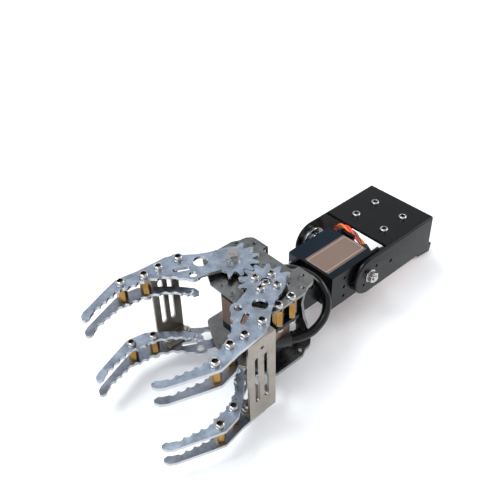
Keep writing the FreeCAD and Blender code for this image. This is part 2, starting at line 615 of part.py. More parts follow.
def jaw_pieces(tooth_phase, driven):
    upper = gear_plate(tooth_phase, UPPER_Z)
    lower = gear_plate(tooth_phase, LOWER_Z)
    if driven:
        holes = [rod(x, y, UPPER_Z - 1, UPPER_Z + 4, M3_HOLE_R) for x, y in driven_screw_places()]
        upper = upper.cut(holes + [rod(0, 0, UPPER_Z - 1, UPPER_Z + 4, 3.4)])
    else:
        upper = upper.cut(rod(0, 0, UPPER_Z - 1, UPPER_Z + 4, 2.0 + FIT))
    lower = lower.cut(rod(0, 0, LOWER_Z - 1, LOWER_Z + 4, 2.0 + FIT))
    return {"gear_plate_upper": upper, "gear_plate_lower": lower,
            "finger_plate_upper": finger_plate(UPPER_Z - STANDOFF_LEN - JAW_PLATE),
            "finger_plate_lower": finger_plate(LOWER_Z + JAW_PLATE + STANDOFF_LEN),
            "tie_plate": tie_plate(), "standoffs": standoffs(), "screws": jaw_screws(), "nuts": jaw_nuts()}


def driven_screw_places():
    """The horn's screw circle, as it lies once the gripper servo is turned into place."""
    return [(y, -x) for x, y in horn_screw_places()]


def place_near(shape):
    return moved(shape, JAW_X, GEAR_PITCH_R, 0)


def place_far(shape):
    return mirrored(place_near(shape))


# --- Routes of the two free leads, from the gland outwards ---------------------------------------
GRIPPER_GLAND = (117.2, 24.5, -17.3)
GRIPPER_GLAND_AXIS = (-0.87, 0.5, 0.0)
GRIPPER_GLAND_LEN = 5.4
GRIPPER_LEAD_BENDS = [
    (99.0, 33.0, -16.0), (87.0, 32.5, -10.0), (80.0, 25.5, -1.5), (79.0, 14.0, 4.0), (80.5, -2.0, 1.5),
    (81.5, -14.0, -5.0), (80.0, -21.0, -20.0), (71.0, -19.0, -36.0), (56.0, -13.0, -42.0),
    (34.0, -11.0, -41.0), (10.0, -8.0, -43.0), (-12.0, -10.0, -43.0), (-36.0, -7.0, -46.0)]
ELBOW_GLAND = (28.0, 13.0, -4.6)
ELBOW_GLAND_AXIS = (-0.43, -0.9, 0.05)
ELBOW_GLAND_LEN = 4.0
FIRST_RUN = 5.3             # straight run out of either gland
ELBOW_LEAD_BENDS = [
    (23.5, -2.5, -1.0), (23.5, -11.0, 0.5), (23.5, -18.0, -4.0), (22.5, -22.0, -12.0),
    (23.0, -21.0, -20.0), (28.0, -17.0, -28.0), (38.0, -12.0, -32.0), (50.0, -9.0, -32.0),
    (60.0, -3.0, -32.0), (62.0, 7.0, -32.0), (55.5, 14.5, -32.0), (40.0, 14.0, -32.0),
    (22.0, 10.0, -33.0), (2.0, 10.0, -40.0), (-20.0, 7.0, -46.5), (-42.0, 8.0, -48.5)]


def lead_route(gland_start, axis, gland_len, bends):
    """The lead leaves the end of its gland straight along the gland's axis."""
    start = Vector(*gland_start)
    direction = Vector(*axis).normalize()
    first = start + direction * gland_len
    second = start + direction * (gland_len + FIRST_RUN)
    return [first, second] + [Vector(*p) for p in bends]


def gland(start, axis, radius, length, solid_beyond):
    """A short moulded sleeve whose back is cut flush with the case that it comes out of."""
    direction = Vector(*axis).normalize()
    back = Vector(*start) - direction * (2 * radius)
    sleeve = Part.makeCylinder(radius, length + 2 * radius, back, direction)
    return sleeve.cut(solid_beyond)


def connector(route, width, height, length):
    """Three-pin plug housing on the end of a lead: a block along the lead's last run."""
    end = route[-1]
    axis = (end - route[-2]).normalize()
    block = Part.makeBox(width, height, length, Vector(-width / 2, -height / 2, 0))
    block.Placement = FreeCAD.Placement(end, FreeCAD.Rotation(Vector(0, 0, 1), axis))
    return block


def main():
    os.makedirs("parts", exist_ok=True)
    elbow = place_each(servo_pieces(ELBOW_HORN_RISE), place_elbow)
    gripper = place_each(servo_pieces(GRIPPER_HORN_RISE), place_gripper)

    # Base body.
    save("base_bracket", base_bracket())
    save("base_screws", [base_screw(x, y) for x, y in base_screw_places()])
    save("elbow_horn", elbow["horn"])
    save("elbow_output_shaft", elbow["output_shaft"])
    shapes = [along_minus_y(screw(0, 0, 0, 4.5), ELBOW_X + x, ARM_FAR_Y, ELBOW_Z + y)
              for x, y in horn_screw_places()]
    shapes.append(along_minus_y(screw(0, 0, 0, 5.0), ELBOW_X, ELBOW_HORN_FACE_Y, ELBOW_Z))
    save("elbow_horn_screws", shapes)
    save("idler_bolt", along_y(rod(0, 0, -6.1, 5.0, 2.0), ELBOW_X, ARM_NEAR_Y, ELBOW_Z))
    washer = rod(0, 0, 0, 0.8, 4.6).cut(rod(0, 0, -1, 2, 2.0))
    idler_nut = hexagon(0, 0, 0.8, 3.8, 7.0).cut(rod(0, 0, 0, 5, 2.0))
    save("idler_nut", [along_y(fuse([washer, idler_nut]), ELBOW_X, ARM_NEAR_Y, ELBOW_Z)])

    # Forearm body: elbow servo, its bracket and the wrist.
    for name in ("case_bottom", "case_middle", "case_top", "case_screws", "motor", "control_board"):
        save("elbow_" + name, elbow[name])
        save("gripper_" + name, gripper[name])
    save("servo_bracket", servo_bracket())
    bush = rod(0, 0, -2.0, 0, 3.0).fuse(rod(0, 0, 0, 1.6, 4.5)).cut(rod(0, 0, -4, 4, 2.0 + FIT))
    save("idler_bush", along_y(bush, ELBOW_X, BRACKET_Y1, ELBOW_Z))
    shapes = []
    for x, z in elbow_ear_places():
        length = 4.6 if x < ELBOW_X else 7.0
        ear_screw = screw(0, 0, 0, length, True, EAR_SCREW_R, 3.4, 2.2)
        shapes.append(along_minus_y(ear_screw, x, EAR_FACE_Y - EAR_THICK, z))
    save("bracket_screws", shapes)
    save("wrist_spacer", wrist_spacer())
    shapes = [along_x(screw(0, 0, 0, 5.0), PALM_REAR_X + PALM_SHEET, y, z)
              for y, z in wrist_front_places()]
    shapes += [along_x(screw(0, 0, 0, 4.0), BRACKET_X1 + WRIST_WALL, y, z)
               for y, z in wrist_rear_places()]
    save("wrist_screws", shapes)

    # Forearm body: palm, gripper servo mounting and the fixed jaw pivots.
    save("palm", palm())
    standoff_z0 = GRIPPER_EAR_TOP_Z
    standoff_z1 = PALM_TOP_Z - PALM_SHEET
    save("palm_standoffs", [nut(x, y, standoff_z0, 6.0, standoff_z1 - standoff_z0)
                            for x, y in gripper_ear_places()])
    shapes = [screw(x, y, PALM_TOP_Z, 6.5) for x, y in gripper_ear_places()]
    shapes += [screw(x, y, standoff_z0 - EAR_THICK, 7.0, False, M3_R, 3.2) for x, y in gripper_ear_places()]
    save("palm_standoff_screws", shapes)
    bolts = [fuse([rod(JAW_X, -GEAR_PITCH_R, PALM_TOP_Z - PALM_SHEET - 2.0, UPPER_Z + 7.0, 2.0),
                   rod(JAW_X, -GEAR_PITCH_R, PALM_TOP_Z - PALM_SHEET - 2.4, PALM_TOP_Z - PALM_SHEET, 3.5)])]
    bushes = [rod(JAW_X, -GEAR_PITCH_R, PALM_TOP_Z, UPPER_Z - 0.1, 4.0)
              .cut(rod(JAW_X, -GEAR_PITCH_R, PALM_TOP_Z - 1, UPPER_Z + 1, 2.0))]
    nuts = [flange_nut(JAW_X, -GEAR_PITCH_R, UPPER_Z + JAW_PLATE + 0.1, 1)]
    for y in (-GEAR_PITCH_R, GEAR_PITCH_R):
        inner_z = PALM_BOTTOM_Z + PALM_SHEET
        shank = rod(JAW_X, y, LOWER_Z - 5.0, inner_z + 2.0, 2.0)
        bolts.append(fuse([shank, rod(JAW_X, y, inner_z, inner_z + 2.4, 3.5)]))
        bushes.append(rod(JAW_X, y, LOWER_Z + JAW_PLATE + 0.1, PALM_BOTTOM_Z, 4.0)
                      .cut(rod(JAW_X, y, LOWER_Z, PALM_BOTTOM_Z + 1, 2.0)))
        nuts.append(flange_nut(JAW_X, y, LOWER_Z - 0.1, -1))
    save("jaw_pivot_bolts", bolts)
    save("jaw_pivot_bushes", bushes)
    save("jaw_pivot_nuts", nuts)

    # Driven jaw, with the parts of the gripper servo that turn with it, and the follower jaw.
    save("gripper_output_shaft", gripper["output_shaft"])
    save("gripper_horn", gripper["horn"])
    shapes = [screw(x, y, UPPER_Z + JAW_PLATE, 4.5) for x, y in driven_screw_places()]
    shapes.append(screw(0, 0, UPPER_Z, 6.0))
    save("gripper_horn_screws", [place_near(s) for s in shapes])
    near = place_each(jaw_pieces(0.25, True), place_near)
    far = place_each(jaw_pieces(-0.25, False), place_far)
    for side, pieces in (("near", near), ("far", far)):
        for name, shape in pieces.items():
            save(side + "_" + name, shape)

    # Free leads, their glands and plugs.
    gripper_case = box(80, 150, -20, GRIPPER_GLAND[1], -40, 20)
    route = lead_route(GRIPPER_GLAND, GRIPPER_GLAND_AXIS, GRIPPER_GLAND_LEN, GRIPPER_LEAD_BENDS)
    save("gripper_gland", gland(GRIPPER_GLAND, GRIPPER_GLAND_AXIS, 4.0, GRIPPER_GLAND_LEN, gripper_case))
    save("gripper_lead", tube(route, LEAD_D, "gripper_lead"))
    save("gripper_plug", connector(route, 8.0, 6.4, 14.0))
    elbow_case = box(ELBOW_GLAND[0], 60, -20, 30, -40, 20)
    route = lead_route(ELBOW_GLAND, ELBOW_GLAND_AXIS, ELBOW_GLAND_LEN, ELBOW_LEAD_BENDS)
    save("elbow_gland", gland(ELBOW_GLAND, ELBOW_GLAND_AXIS, 2.6, ELBOW_GLAND_LEN, elbow_case))
    save("elbow_lead", tube(route, WIRE_D, "elbow_lead"))
    save("elbow_plug", connector(route, 7.8, 2.8, 14.0))


def flange_nut(x, y, seat_z, direction):
    """M4 flanged lock nut on the upper (direction 1) or lower (direction -1) side of its seat."""
    flange = rod(x, y, 0, 1.0, 4.6)
    body = hexagon(x, y, 1.0, 4.6, 7.0)
    shape = fuse([flange, body]).cut(rod(x, y, -1, 6, 2.0))
    if direction < 0:
        shape = shape.mirror(Vector(0, 0, 0), Vector(0, 0, 1))
    return moved(shape, 0, 0, seat_z)


main()
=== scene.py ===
import json
import math
import bmesh
import bpy
from mathutils import Matrix, Vector


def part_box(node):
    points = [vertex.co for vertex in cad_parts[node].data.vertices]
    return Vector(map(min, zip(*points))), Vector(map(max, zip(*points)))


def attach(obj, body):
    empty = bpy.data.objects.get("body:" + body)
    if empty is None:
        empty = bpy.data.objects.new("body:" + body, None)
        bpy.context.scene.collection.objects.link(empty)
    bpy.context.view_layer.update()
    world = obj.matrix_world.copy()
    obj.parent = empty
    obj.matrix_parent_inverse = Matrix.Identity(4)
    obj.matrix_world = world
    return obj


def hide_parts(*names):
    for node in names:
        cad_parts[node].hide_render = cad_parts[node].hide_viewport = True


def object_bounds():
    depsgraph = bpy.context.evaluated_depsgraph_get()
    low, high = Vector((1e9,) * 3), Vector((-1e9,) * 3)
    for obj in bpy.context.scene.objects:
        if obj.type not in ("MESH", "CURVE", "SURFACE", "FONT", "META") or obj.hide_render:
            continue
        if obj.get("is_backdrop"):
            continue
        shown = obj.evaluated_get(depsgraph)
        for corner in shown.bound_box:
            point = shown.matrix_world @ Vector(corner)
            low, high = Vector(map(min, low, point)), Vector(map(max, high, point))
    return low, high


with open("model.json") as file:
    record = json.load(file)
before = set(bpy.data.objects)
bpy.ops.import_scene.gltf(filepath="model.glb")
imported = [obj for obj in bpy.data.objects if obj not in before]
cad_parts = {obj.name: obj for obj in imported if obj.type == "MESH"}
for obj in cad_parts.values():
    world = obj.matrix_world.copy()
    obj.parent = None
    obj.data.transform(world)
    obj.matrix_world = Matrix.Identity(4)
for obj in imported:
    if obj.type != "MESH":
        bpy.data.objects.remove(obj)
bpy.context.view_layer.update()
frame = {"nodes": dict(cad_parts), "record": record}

NODES = frame["nodes"]
BODY = {node: body for body, members in frame["record"]["behaviour"]["bodies"].items()
        for node in members}
SLOT = {entry["node"]: entry["material_slot"] for entry in frame["record"]["subparts"]}
MM = 0.001                  # lengths are in metres, unless another unit is named


def turn_angle(k, count):
    """Angle of the k-th of count equal steps round a full turn."""
    return 2 * math.pi * k / count


# ---------------------------------------------------------------- materials
NOISE_LOW = 0.3             # a noise's value is seldom outside these two
NOISE_HIGH = 0.7
MIX_A = 6                   # the places of a Mix node's colour sockets
MIX_B = 7
MIX_RESULT = 2


class Graph:
    """A Principled material with its nodes wired by short calls."""

    def __init__(self, name):
        self.material = bpy.data.materials.new(name)
        self.material.use_nodes = True
        self.tree = self.material.node_tree
        self.shader = next(n for n in self.tree.nodes if n.type == "BSDF_PRINCIPLED")
        self.place = self.add("ShaderNodeTexCoord").outputs["Object"]

    def add(self, kind, **settings):
        node = self.tree.nodes.new(kind)
        for key, value in settings.items():
            setattr(node, key, value)
        return node

    def link(self, a, b):
        self.tree.links.new(a, b)

    def noise(self, scale, stretch=(1, 1, 1), detail=3.0, rough=0.55):
        """Noise in object space; stretch below 1 draws the grain out along that axis."""
        mapping = self.add("ShaderNodeMapping")
        mapping.inputs["Scale"].default_value = stretch
        self.link(self.place, mapping.inputs["Vector"])
        node = self.add("ShaderNodeTexNoise")
        node.inputs["Scale"].default_value = scale
        node.inputs["Detail"].default_value = detail
        node.inputs["Roughness"].default_value = rough
        self.link(mapping.outputs["Vector"], node.inputs["Vector"])
        return node.outputs["Fac"]

    def ramp(self, value, stops):
        """Turns a value into a colour by its (position, colour) stops."""
        node = self.add("ShaderNodeValToRGB")
        for i, (position, colour) in enumerate(stops):
            stop = node.color_ramp.elements[i] if i < 2 else node.color_ramp.elements.new(position)
            stop.position = position
            stop.color = (*colour, 1)
        self.link(value, node.inputs["Fac"])
        return node.outputs["Color"]

    def span(self, value, low, high):
        """Spreads the middle of a noise, where most of it lies, from low to high."""
        node = self.add("ShaderNodeMapRange")
        node.inputs["From Min"].default_value = NOISE_LOW
        node.inputs["From Max"].default_value = NOISE_HIGH
        node.inputs["To Min"].default_value = low
        node.inputs["To Max"].default_value = high
        self.link(value, node.inputs["Value"])
        return node.outputs["Result"]

    def mix(self, factor, a, b, blend="MIX"):
        """Blends two colours; factor is a plain share or a socket."""
        node = self.add("ShaderNodeMix", data_type="RGBA", blend_type=blend)
        if isinstance(factor, float):
            node.inputs[0].default_value = factor
        else:
            self.link(factor, node.inputs[0])
        self.link(a, node.inputs[MIX_A])
        self.link(b, node.inputs[MIX_B])
        return node.outputs[MIX_RESULT]

    def bump(self, heights):
        """Stacks (height, strength, distance) layers into the shader's normal."""
        below = None
        for height, strength, distance in heights:
            node = self.add("ShaderNodeBump")
            node.inputs["Strength"].default_value = strength
            node.inputs["Distance"].default_value = distance
            self.link(height, node.inputs["Height"])
            if below is not None:
                self.link(below, node.inputs["Normal"])
            below = node.outputs["Normal"]
        self.link(below, self.shader.inputs["Normal"])

    def colour(self, socket):
        self.link(socket, self.shader.inputs["Base Color"])

    def roughness(self, socket):
        self.link(socket, self.shader.inputs["Roughness"])

    def fixed(self, **values):
        """Sets the shader's own sockets, spaces written as underscores."""
        for key, value in values.items():
            self.shader.inputs[key.replace("_", " ")].default_value = value


def shade(colour, gain):
    """The colour made lighter or darker, no channel past 1."""
    return tuple(min(1.0, c * gain) for c in colour)


def worn_metal(name, colour, rough, grain=(1, 1, 1), grain_scale=900, patch_scale=45,
               contrast=0.12, bump=0.12, stain=None):
    """Bare metal: fine drawn grain, larger cloudy patches and a few dull stains."""
    g = Graph(name)
    fine = g.noise(grain_scale, grain, detail=4.0, rough=0.6)
    cloud = g.noise(patch_scale, detail=3.0, rough=0.5)
    base = g.ramp(cloud, [(0.3, shade(colour, 1 - contrast)), (0.7, shade(colour, 1 + contrast))])
    grainy = g.ramp(fine, [(0.25, (0.80, 0.80, 0.80)), (0.75, (1, 1, 1))])
    tone = g.mix(0.75, base, grainy, "MULTIPLY")
    if stain:
        blotch = g.noise(patch_scale * 3.1, detail=5.0, rough=0.65)
        mask = g.ramp(blotch, [(0.56, (0, 0, 0)), (0.72, (1, 1, 1))])
        dark = g.ramp(fine, [(0.2, shade(stain, 0.85)), (0.8, stain)])
        tone = g.mix(mask, tone, dark)
    g.colour(tone)
    g.roughness(g.span(cloud, rough[0], rough[1]))
    g.bump([(fine, bump, 0.00004), (cloud, bump * 0.5, 0.0002)])
    g.fixed(Metallic=1.0)
    return g.material


def anodised(name, colour, edge, rough, metallic):
    """Dark anodised or painted metal: satin speckle, dusty patches and rubbed spots."""
    g = Graph(name)
    speck = g.noise(2600, detail=2.0, rough=0.5)
    dust = g.noise(60, detail=5.0, rough=0.6)
    rub = g.noise(210, (1, 1, 0.5), detail=4.0, rough=0.7)
    base = g.ramp(speck, [(0.35, shade(colour, 0.8)), (0.7, shade(colour, 1.35))])
    dusty = g.ramp(speck, [(0.3, shade(colour, 1.6)), (0.8, shade(colour, 2.3))])
    tone = g.mix(g.ramp(dust, [(0.48, (0, 0, 0)), (0.78, (0.55, 0.55, 0.55))]), base, dusty)
    bare = g.ramp(speck, [(0.2, shade(edge, 0.8)), (0.9, edge)])
    tone = g.mix(g.ramp(rub, [(0.70, (0, 0, 0)), (0.82, (0.6, 0.6, 0.6))]), tone, bare)
    g.colour(tone)
    g.roughness(g.span(dust, rough[0], rough[1]))
    g.bump([(speck, 0.10, 0.00003)])
    g.fixed(Metallic=metallic, Specular_IOR_Level=0.2)
    return g.material


def moulded(name, colour, rough=(0.35, 0.5), gloss=0.0, skin_scale=1500, specular=0.5):
    """Moulded plastic or rubber with a fine spark-eroded skin."""
    g = Graph(name)
    skin = g.noise(skin_scale, detail=2.0, rough=0.5)
    cloud = g.noise(90, detail=3.0, rough=0.5)
    g.colour(g.mix(0.5, g.ramp(skin, [(0.3, shade(colour, 0.8)), (0.7, shade(colour, 1.25))]),
                   g.ramp(cloud, [(0.3, shade(colour, 0.75)), (0.7, shade(colour, 1.3))])))
    g.roughness(g.span(cloud, rough[0], rough[1]))
    g.bump([(skin, 0.15, 0.00003)])
    g.fixed(Coat_Weight=gloss, Coat_Roughness=0.08, Specular_IOR_Level=specular)
    return g.material


def board_material():
    """Green lacquered board with lighter tracks."""
    g = Graph("circuit_board")
    mask = g.noise(700, (1, 0.2, 1), detail=0.0, rough=0.5)
    g.colour(g.ramp(mask, [(0.45, (0.01, 0.10, 0.04)), (0.55, (0.03, 0.20, 0.08))]))
    g.roughness(g.span(mask, 0.3, 0.5))
    g.bump([(mask, 0.2, 0.00003)])
    return g.material


MATERIALS = {
    "black_anodised": anodised("black_anodised", (0.0035, 0.0035, 0.004), (0.02, 0.02, 0.022),
                               rough=(0.22, 0.36), metallic=0.1),
    "jaw_aluminium": worn_metal("jaw_aluminium", (0.42, 0.485, 0.575), rough=(0.22, 0.42),
                                grain=(1, 0.12, 1), grain_scale=1400, patch_scale=150,
                                contrast=0.24, bump=0.22, stain=(0.24, 0.28, 0.335)),
    # A darker copy of the jaw metal: painted shade for the plates that lie under their pair's
    # outer plate.
    "painted_shade_aluminium": worn_metal("painted_shade_aluminium", (0.30, 0.325, 0.375), rough=(0.26, 0.44),
                                 grain=(1, 0.12, 1), grain_scale=1400, patch_scale=130,
                                 contrast=0.28, bump=0.22, stain=(0.17, 0.185, 0.215)),
    "tie_aluminium": worn_metal("tie_aluminium", (0.34, 0.31, 0.27), rough=(0.28, 0.44),
                                grain=(1, 1, 0.08), grain_scale=1100, patch_scale=70,
                                contrast=0.14, bump=0.2, stain=(0.22, 0.20, 0.17)),
    "palm_aluminium": worn_metal("palm_aluminium", (0.24, 0.24, 0.23), rough=(0.22, 0.38),
                                 grain=(0.1, 1, 1), grain_scale=1300, patch_scale=90,
                                 contrast=0.25, bump=0.2, stain=(0.09, 0.09, 0.09)),
    "servo_black": anodised("servo_black", (0.002, 0.009, 0.017), (0.02, 0.04, 0.06),
                            rough=(0.22, 0.36), metallic=0.3),
    "servo_rose": worn_metal("servo_rose", (0.33, 0.22, 0.17), rough=(0.30, 0.44),
                             grain=(1, 0.15, 1), grain_scale=1500, patch_scale=50,
                             contrast=0.10, bump=0.12, stain=(0.24, 0.16, 0.125)),
    "brass": worn_metal("brass", (0.35, 0.20, 0.06), rough=(0.16, 0.32), grain=(1, 1, 0.3),
                        grain_scale=1200, patch_scale=160, contrast=0.25, bump=0.15),
    "stainless": worn_metal("stainless", (0.52, 0.50, 0.475), rough=(0.12, 0.26),
                            grain_scale=1500, patch_scale=200, contrast=0.1, bump=0.08),
    "horn_silver": worn_metal("horn_silver", (0.55, 0.56, 0.57), rough=(0.16, 0.3),
                              grain_scale=1600, patch_scale=120, contrast=0.08, bump=0.1),
    "sleeve_black": moulded("sleeve_black", (0.002, 0.002, 0.0022), rough=(0.12, 0.22),
                            gloss=0.1, skin_scale=900, specular=0.3),
    "wire_orange": moulded("wire_orange", (0.95, 0.17, 0.03), rough=(0.3, 0.42), gloss=0.2),
    "plug_black": moulded("plug_black", (0.012, 0.012, 0.012)),
    "motor_steel": worn_metal("motor_steel", (0.5, 0.5, 0.5), rough=(0.25, 0.4)),
    "board_green": board_material(),
}
RED_WIRE = moulded("wire_red", (0.72, 0.045, 0.03), rough=(0.3, 0.42), gloss=0.2)
BROWN_WIRE = moulded("wire_brown", (0.16, 0.045, 0.022), rough=(0.3, 0.42), gloss=0.2)
# Near-black for the pit of a screw's drive: painted shade in the recess.
RECESS_SHADE = moulded("drive_recess_shade", (0.004, 0.004, 0.004), rough=(0.6, 0.8))
# A brighter, glossier metal on the plates' sides: a painted edge highlight.
EDGE_HIGHLIGHT = worn_metal("painted_edge_highlight", (0.50, 0.52, 0.55), rough=(0.14, 0.26), grain=(1, 1, 0.2),
                      grain_scale=1500, patch_scale=90, contrast=0.12, bump=0.1)


def finish_of(node):
    """The material of a node's slot, or its own tone of it; the inner plate of each pair gets a
    darker copy as painted shade.
    """
    if node.endswith("_tie_plate"):
        return MATERIALS["tie_aluminium"]
    # The inner plate of each pair is darker with painted shade.
    if node.endswith(("_finger_plate_upper", "_gear_plate_lower")):
        return MATERIALS["painted_shade_aluminium"]
    return MATERIALS[SLOT[node]]


# ---------------------------------------------------------------- pieces
WELD = 2e-6                 # metres; corners nearer than this are one
FLAT_ANGLE = 1.0            # degrees up to which two faces are one flat one
BROKEN_ANGLE = 32           # degrees from which an edge is broken
SHARP_ANGLE = 40            # degrees from which an edge is shaded sharp
SHARP_SCREW_ANGLE = 38
UPRIGHT = 0.5               # a face whose normal rises less than this is a plate's side
RIM_SHARE = 0.97            # of a head's radius, from where a point is on its rim
TIP_DEPTH = 1e-5            # metres; how near the tip its points are


def new_piece(name, mesh, node, material, *more):
    """A new object with the node's body and the given materials, and its faces' finishes kept."""
    piece = bpy.data.objects.new(name, mesh)
    bpy.context.scene.collection.objects.link(piece)
    indices = [face.material_index for face in mesh.polygons]
    mesh.materials.clear()
    for m in (material, *more):
        mesh.materials.append(m)
    for face, index in zip(mesh.polygons, indices):
        face.material_index = index
    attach(piece, BODY[node])
    return piece


def clean_copy(node):
    """The node's mesh as a bmesh of flat faces without the triangulation inside them."""
    bm = bmesh.new()
    bm.from_mesh(NODES[node].data)
    bmesh.ops.remove_doubles(bm, verts=bm.verts, dist=WELD)
    bmesh.ops.dissolve_limit(bm, angle_limit=math.radians(FLAT_ANGLE), verts=bm.verts,
                             edges=bm.edges)
    return bm


def softened(node, width_mm, segments=2, painted_edge_highlight=False):
    """Stands for the node with its sharp edges broken; its flag gives a plate's sides a painted
    highlight, a brighter and glossier metal.
    """
    bm = clean_copy(node)
    for face in bm.faces:
        # The upright sides of a plate get the painted edge highlight.
        face.material_index = 1 if painted_edge_highlight and abs(face.normal.z) < UPRIGHT else 0
    mesh = bpy.data.meshes.new(node + "_soft")
    bm.to_mesh(mesh)
    bm.free()
    more = [EDGE_HIGHLIGHT] if painted_edge_highlight else []
    piece = new_piece(node + "_soft", mesh, node, finish_of(node), *more)
    bevel = piece.modifiers.new("edges", "BEVEL")
    bevel.width = width_mm * MM
    bevel.segments = segments
    bevel.limit_method = "ANGLE"
    bevel.angle_limit = math.radians(BROKEN_ANGLE)
    bevel.use_clamp_overlap = True
    mesh.shade_smooth()
    mesh.set_sharp_from_angle(angle=math.radians(SHARP_ANGLE))
    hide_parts(node)


def islands(node):
    """Each loose part of a node, as its list of corner points."""
    bm = bmesh.new()
    bm.from_mesh(NODES[node].data)
    bmesh.ops.remove_doubles(bm, verts=bm.verts, dist=WELD)
    seen = set()
    parts = []
    for first in bm.verts:
        if first in seen:
            continue
        seen.add(first)
        heap = [first]
        part = []
        while heap:
            vert = heap.pop()
            part.append(vert.co.copy())
            for edge in vert.link_edges:
                other = edge.other_vert(vert)
                if other not in seen:
                    seen.add(other)
                    heap.append(other)
        parts.append(part)
    bm.free()
    return parts


def fastener_frame(points):
    """(seat centre, head direction, head radius and height, shank radius and length)."""
    low = Vector([min(p[i] for p in points) for i in range(3)])
    high = Vector([max(p[i] for p in points) for i in range(3)])
    size = high - low
    centre = (low + high) / 2
    pairs = [(abs(size[(i + 1) % 3] - size[(i + 2) % 3]), i) for i in range(3)]
    axis = min(pairs)[1]
    head_r = size[(axis + 1) % 3] / 2

    def out(p):
        d = p - centre
        d[axis] = 0
        return d.length

    wide = [p[axis] for p in points if out(p) > RIM_SHARE * head_r]
    up = 1.0 if sum(wide) / len(wide) > centre[axis] else -1.0
    seat = min(wide) if up > 0 else max(wide)
    top = high[axis] if up > 0 else low[axis]
    tip = low[axis] if up > 0 else high[axis]
    ends = [out(p) for p in points if abs(p[axis] - tip) < TIP_DEPTH]
    place = centre.copy()
    place[axis] = seat
    direction = Vector((0, 0, 0))
    direction[axis] = up
    return place, direction, head_r, abs(top - seat), max(ends), abs(seat - tip)


def skin_loops(bm, loops, finishes, ends, smooth=False):
    """Joins each loop of corners to the next; finishes are per step, ends for the two caps."""
    count = len(loops[0])
    for a, b, finish in zip(loops, loops[1:], finishes):
        for k in range(count):
            face = bm.faces.new((a[k], a[(k + 1) % count], b[(k + 1) % count], b[k]))
            face.material_index = finish
            face.smooth = smooth
    bm.faces.new(list(reversed(loops[0]))).material_index = ends[0]
    bm.faces.new(loops[-1]).material_index = ends[1]


SCREW_SIDES = 36
HEX_SHARE = 0.64            # of the head's radius, at the socket's corners
CROSS_SHARE = 0.66          # of the head's radius, at the ends of the cross
CROSS_WAIST = 0.40          # of the cross's own radius, between two arms
TIP_LENGTH = 0.0003         # chamfer at the end of a shank
TIP_SHARE = 0.78            # of the shank's radius, at its very end
ROOT_SHARE = 0.86           # of the shank's radius, between two crests of the thread
ROOT_PART = 0.35            # of a turn's pitch, where its root comes
CREST_PART = 0.70           # and where its crest comes
PLAIN_TURNS = 2             # of the thread left out, just under the head
UNDERCUT = 0.00002          # the shank stops this far under the head
FIRST_TURN = 0.3            # radians that a node's first screw is turned by
NEXT_TURN = 1.9             # and each one after it, so that the drives don't line up

# A head's rings from its seat up: shares of its height and of its radius.
HEAD_RINGS = [(0.0, 0.96), (0.06, 1.0), (0.66, 1.0), (0.80, 0.965), (0.92, 0.87), (1.0, 0.70)]
# The recess's rings from its lip down: shares of the head's height and of the drive's outline.
LIP_RINGS = [(1.0, 1.10), (0.94, 1.0)]
PIT_RINGS = [(0.35, 0.97), (0.28, 0.5)]


def hex_drive(head_r, angle):
    """Radius of a hexagon socket's outline at an angle."""
    part = (angle + math.pi / 6) % (math.pi / 3) - math.pi / 6
    return head_r * HEX_SHARE * math.cos(math.pi / 6) / math.cos(part)


def cross_drive(head_r, angle):
    """Radius of a cross recess's outline at an angle."""
    arm = abs(math.cos(2 * angle)) ** 3
    return head_r * CROSS_SHARE * (CROSS_WAIST + (1 - CROSS_WAIST) * arm)


def ring(bm, matrix, height, radius_at):
    """A loop of corners at a height, its radius given for each angle."""
    loop = []
    for k in range(SCREW_SIDES):
        angle = turn_angle(k, SCREW_SIDES)
        r = radius_at(angle)
        point = Vector((r * math.cos(angle), r * math.sin(angle), height))
        loop.append(bm.verts.new(matrix @ point))
    return loop


def detailed_screws(node, drive, thread_pitch=0.5):
    """Screws with a rounded rim, a recessed drive and a threaded shank."""
    pitch = thread_pitch * MM
    bm = bmesh.new()
    for count, points in enumerate(islands(node)):
        place, direction, head_r, head_h, shank_r, length = fastener_frame(points)
        turn = direction.to_track_quat("Z", "Y").to_matrix().to_4x4()
        spin = Matrix.Rotation(FIRST_TURN + NEXT_TURN * count, 4, "Z")
        matrix = Matrix.Translation(place) @ turn @ spin
        z = -length + TIP_LENGTH
        round_rings = [(-length, TIP_SHARE * shank_r), (z, shank_r)]
        while z < -PLAIN_TURNS * pitch:
            round_rings.append((z + ROOT_PART * pitch, shank_r * ROOT_SHARE))
            round_rings.append((z + CREST_PART * pitch, shank_r))
            z += pitch
        round_rings.append((-UNDERCUT, shank_r))
        round_rings += [(up * head_h, out * head_r) for up, out in HEAD_RINGS]
        loops = [ring(bm, matrix, height, lambda angle: r) for height, r in round_rings]
        loops += [ring(bm, matrix, up * head_h, lambda angle: drive(head_r, angle) * out)
                  for up, out in LIP_RINGS + PIT_RINGS]
        # The pit's faces take the near-black painted shade.
        finishes = [0] * (len(loops) - 1 - len(PIT_RINGS)) + [1] * len(PIT_RINGS)
        skin_loops(bm, loops, finishes, (0, 1))
    bmesh.ops.recalc_face_normals(bm, faces=bm.faces)
    mesh = bpy.data.meshes.new(node + "_detail")
    bm.to_mesh(mesh)
    bm.free()
    mesh.shade_smooth()
    mesh.set_sharp_from_angle(angle=math.radians(SHARP_SCREW_ANGLE))
    piece = new_piece(node + "_detail", mesh, node, finish_of(node), RECESS_SHADE)
    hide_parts(node)


# ---------------------------------------------------------------- sheet metal and servo bodies
for side in ("near", "far"):
    for level in ("upper", "lower"):
        softened(f"{side}_gear_plate_{level}", 0.28, painted_edge_highlight=True)
        softened(f"{side}_finger_plate_{level}", 0.28, painted_edge_highlight=True)
    softened(f"{side}_tie_plate", 0.2)
    softened(f"{side}_standoffs", 0.3)
    softened(f"{side}_nuts", 0.3)
    detailed_screws(f"{side}_screws", hex_drive)

